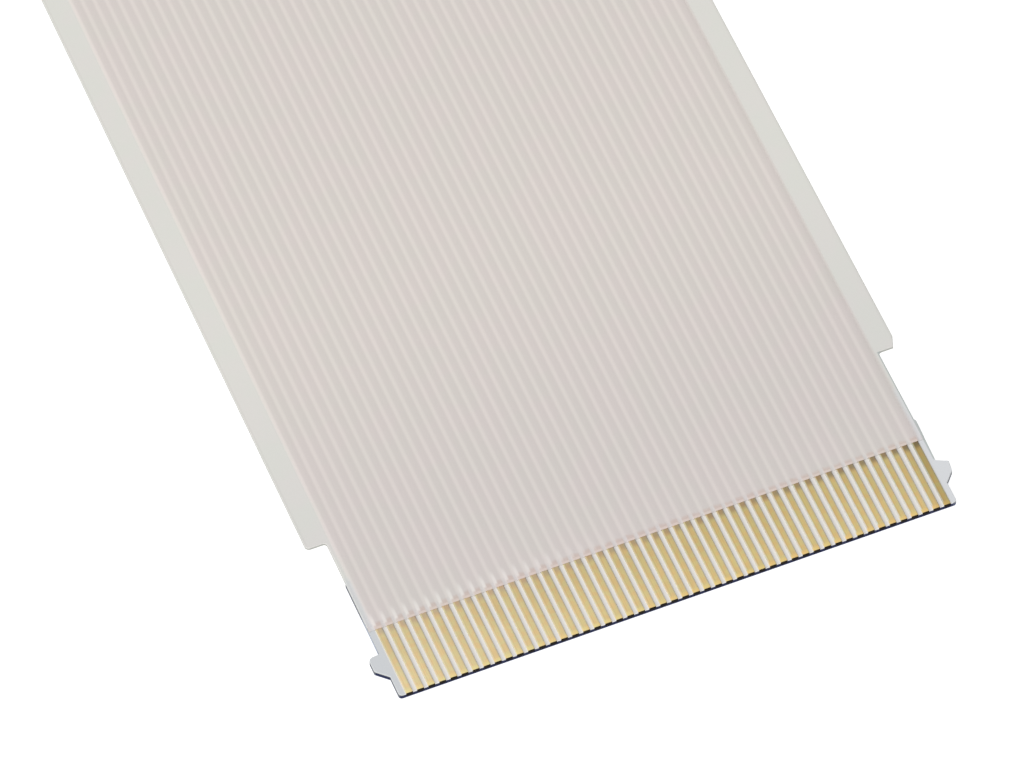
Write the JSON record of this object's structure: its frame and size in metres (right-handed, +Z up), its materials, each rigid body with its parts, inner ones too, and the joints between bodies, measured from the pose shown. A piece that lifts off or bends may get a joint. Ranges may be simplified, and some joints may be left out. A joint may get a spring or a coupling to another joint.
{
  "type": "flat ribbon cable",
  "caption": "Flat ribbon cable: parallel gold plated flat wires laminated between two films, with a stiffened contact end and side ears at each end.",
  "frame": {"origin": "middle of the cable's underside, on the surface that the stiffeners rest on", "axes": "+X across the wires from the first wire to the last, +Y along the cable from the pictured end to the other, +Z up, with the contacts facing up"},
  "size_m": [0.0272, 0.102, 0.0004],
  "materials": {
    "gold_plating": "gold plate over nickel on copper, satin",
    "base_film": "white polyester film, semi-gloss",
    "cover_film": "milky polyester film, semi-gloss, tinted by the copper under it",
    "stiffener": "blue reinforcement tape, satin"
  },
  "bodies": {
    "root": {"conductor_01": "gold_plating", "conductor_02": "gold_plating", "conductor_03": "gold_plating", "conductor_04": "gold_plating", "conductor_05": "gold_plating", "conductor_06": "gold_plating", "conductor_07": "gold_plating", "conductor_08": "gold_plating", "conductor_09": "gold_plating", "conductor_10": "gold_plating", "conductor_11": "gold_plating", "conductor_12": "gold_plating", "conductor_13": "gold_plating", "conductor_14": "gold_plating", "conductor_15": "gold_plating", "conductor_16": "gold_plating", "conductor_17": "gold_plating", "conductor_18": "gold_plating", "conductor_19": "gold_plating", "conductor_20": "gold_plating", "conductor_21": "gold_plating", "conductor_22": "gold_plating", "conductor_23": "gold_plating", "conductor_24": "gold_plating", "conductor_25": "gold_plating", "conductor_26": "gold_plating", "conductor_27": "gold_plating", "conductor_28": "gold_plating", "conductor_29": "gold_plating", "conductor_30": "gold_plating", "conductor_31": "gold_plating", "conductor_32": "gold_plating", "conductor_33": "gold_plating", "conductor_34": "gold_plating", "conductor_35": "gold_plating", "conductor_36": "gold_plating", "conductor_37": "gold_plating", "conductor_38": "gold_plating", "conductor_39": "gold_plating", "conductor_40": "gold_plating", "conductor_41": "gold_plating", "conductor_42": "gold_plating", "conductor_43": "gold_plating", "conductor_44": "gold_plating", "conductor_45": "gold_plating", "conductor_46": "gold_plating", "conductor_47": "gold_plating", "conductor_48": "gold_plating", "conductor_49": "gold_plating", "conductor_50": "gold_plating", "base_film": "base_film", "cover_film": "cover_film", "stiffener_near": "stiffener", "stiffener_far": "stiffener"}
  },
  "joints": []
}
